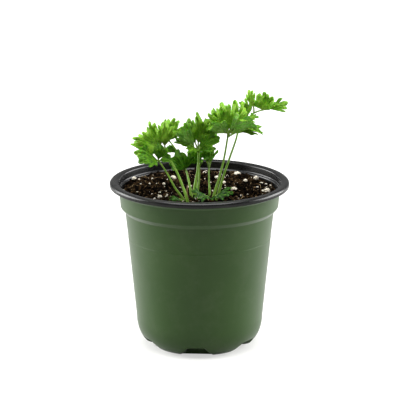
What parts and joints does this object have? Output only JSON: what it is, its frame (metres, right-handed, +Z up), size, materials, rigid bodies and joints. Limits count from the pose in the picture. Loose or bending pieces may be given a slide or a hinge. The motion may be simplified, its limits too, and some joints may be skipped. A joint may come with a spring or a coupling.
{
  "type": "potted parsley",
  "caption": "Young curly parsley plant in a round tapered nursery pot with a turned-down rim, grip collar and drain recesses, filled with potting mix.",
  "frame": {"origin": "centre of the circle the pot stands on, at the bottom of the foot ring", "axes": "+Z up through the pot, -Y towards the best side of the plant"},
  "size_m": [0.1142, 0.1142, 0.1651],
  "materials": {
    "pot": "satin",
    "potting_mix": "matte",
    "stem": "satin",
    "dry_stem": "matte",
    "leaf": "satin",
    "perlite": "matte"
  },
  "bodies": {
    "root": {"leaflet_crown_left_fan": "leaf", "leaflet_crown_middle_fan": "leaf", "leaflet_crown_right_fan": "leaf", "leaflet_left_back_inner": "leaf", "leaflet_left_back_low": "leaf", "leaflet_left_back_side": "leaf", "leaflet_left_back_top": "leaf", "leaflet_left_low_inner": "leaf", "leaflet_left_low_side": "leaf", "leaflet_left_low_top": "leaf", "leaflet_left_tall_inner": "leaf", "leaflet_left_tall_side": "leaf", "leaflet_left_tall_top": "leaf", "leaflet_middle_front": "leaf", "leaflet_middle_left": "leaf", "leaflet_middle_left_top": "leaf", "leaflet_middle_low_back": "leaf", "leaflet_middle_low_left": "leaf", "leaflet_middle_low_right": "leaf", "leaflet_middle_right_low": "leaf", "leaflet_middle_right_top": "leaf", "leaflet_middle_thin": "leaf", "leaflet_middle_top": "leaf", "leaflet_right_front_back": "leaf", "leaflet_right_front_inner": "leaf", "leaflet_right_front_low": "leaf", "leaflet_right_front_side": "leaf", "leaflet_right_front_tip": "leaf", "leaflet_right_front_top": "leaf", "leaflet_right_tall_inner": "leaf", "leaflet_right_tall_low": "leaf", "leaflet_right_tall_small": "leaf", "leaflet_right_tall_tip": "leaf", "leaflet_right_tall_top": "leaf", "leaflet_slim_left": "leaf", "leaflet_slim_right": "leaf", "perlite_01": "perlite", "perlite_02": "perlite", "perlite_03": "perlite", "perlite_04": "perlite", "perlite_05": "perlite", "perlite_06": "perlite", "perlite_07": "perlite", "perlite_08": "perlite", "perlite_09": "perlite", "perlite_10": "perlite", "petiole_crown_left": "stem", "petiole_crown_middle": "stem", "petiole_crown_right": "stem", "petiole_left_back": "stem", "petiole_left_low": "stem", "petiole_left_tall": "stem", "petiole_middle_low": "stem", "petiole_middle_right": "stem", "petiole_middle_tall": "stem", "petiole_right_front": "stem", "petiole_right_tall": "stem", "petiole_withered": "dry_stem", "pot": "pot", "potting_mix": "potting_mix"}
  },
  "joints": []
}
